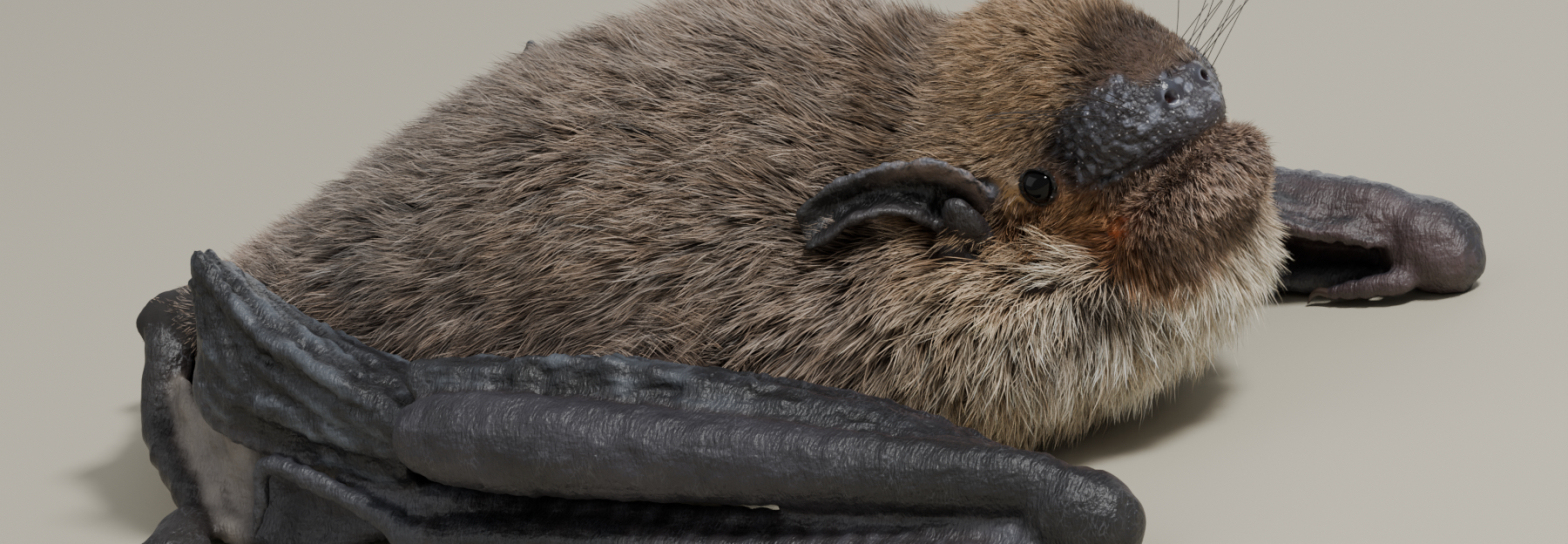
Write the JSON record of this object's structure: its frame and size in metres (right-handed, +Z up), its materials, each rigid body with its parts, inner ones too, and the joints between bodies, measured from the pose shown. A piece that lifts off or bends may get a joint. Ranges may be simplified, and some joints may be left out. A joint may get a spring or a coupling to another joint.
{
  "type": "pipistrelle bat",
  "caption": "Small brown bat resting belly-down with wings folded, head lifted and turned a little to its right.",
  "frame": {"origin": "on the floor, on the body's midline, on the flat that the breast rests on", "axes": "+X to the head, +Y to the animal's left, +Z up"},
  "size_m": [0.0541, 0.0402, 0.0177],
  "materials": {
    "body_fur": "soft brown coat, dark at the roots and paler at the tips, buff below",
    "face_fur": "short golden-brown coat, thin round the eyes and mouth",
    "bare_skin": "moist dark skin",
    "ear_skin": "dull dark skin",
    "wing_skin": "dull charcoal skin, finely wrinkled",
    "toe_skin": "dull dark skin with horn claws",
    "eye": "wet, black"
  },
  "bodies": {
    "root": {"belly": "body_fur", "breast": "body_fur", "head": "face_fur", "left_ear": "ear_skin", "left_eye": "eye", "left_finger_3": "wing_skin", "left_finger_4": "wing_skin", "left_finger_5": "wing_skin", "left_flank_skin": "wing_skin", "left_foot": "toe_skin", "left_fore_skin": "wing_skin", "left_forearm": "wing_skin", "left_hand_skin": "wing_skin", "left_heel_skin": "wing_skin", "left_shin": "wing_skin", "left_tail_skin": "wing_skin", "left_thigh": "wing_skin", "left_thumb": "toe_skin", "left_tragus": "ear_skin", "left_upper_arm": "wing_skin", "left_wrist": "wing_skin", "lower_jaw": "face_fur", "neck": "body_fur", "nose": "bare_skin", "right_ear": "ear_skin", "right_eye": "eye", "right_finger_3": "wing_skin", "right_finger_4": "wing_skin", "right_finger_5": "wing_skin", "right_flank_skin": "wing_skin", "right_foot": "toe_skin", "right_fore_skin": "wing_skin", "right_forearm": "wing_skin", "right_hand_skin": "wing_skin", "right_heel_skin": "wing_skin", "right_shin": "wing_skin", "right_tail_skin": "wing_skin", "right_thigh": "wing_skin", "right_thumb": "toe_skin", "right_tragus": "ear_skin", "right_upper_arm": "wing_skin", "right_wrist": "wing_skin", "rump": "body_fur", "tail": "wing_skin"}
  },
  "joints": []
}
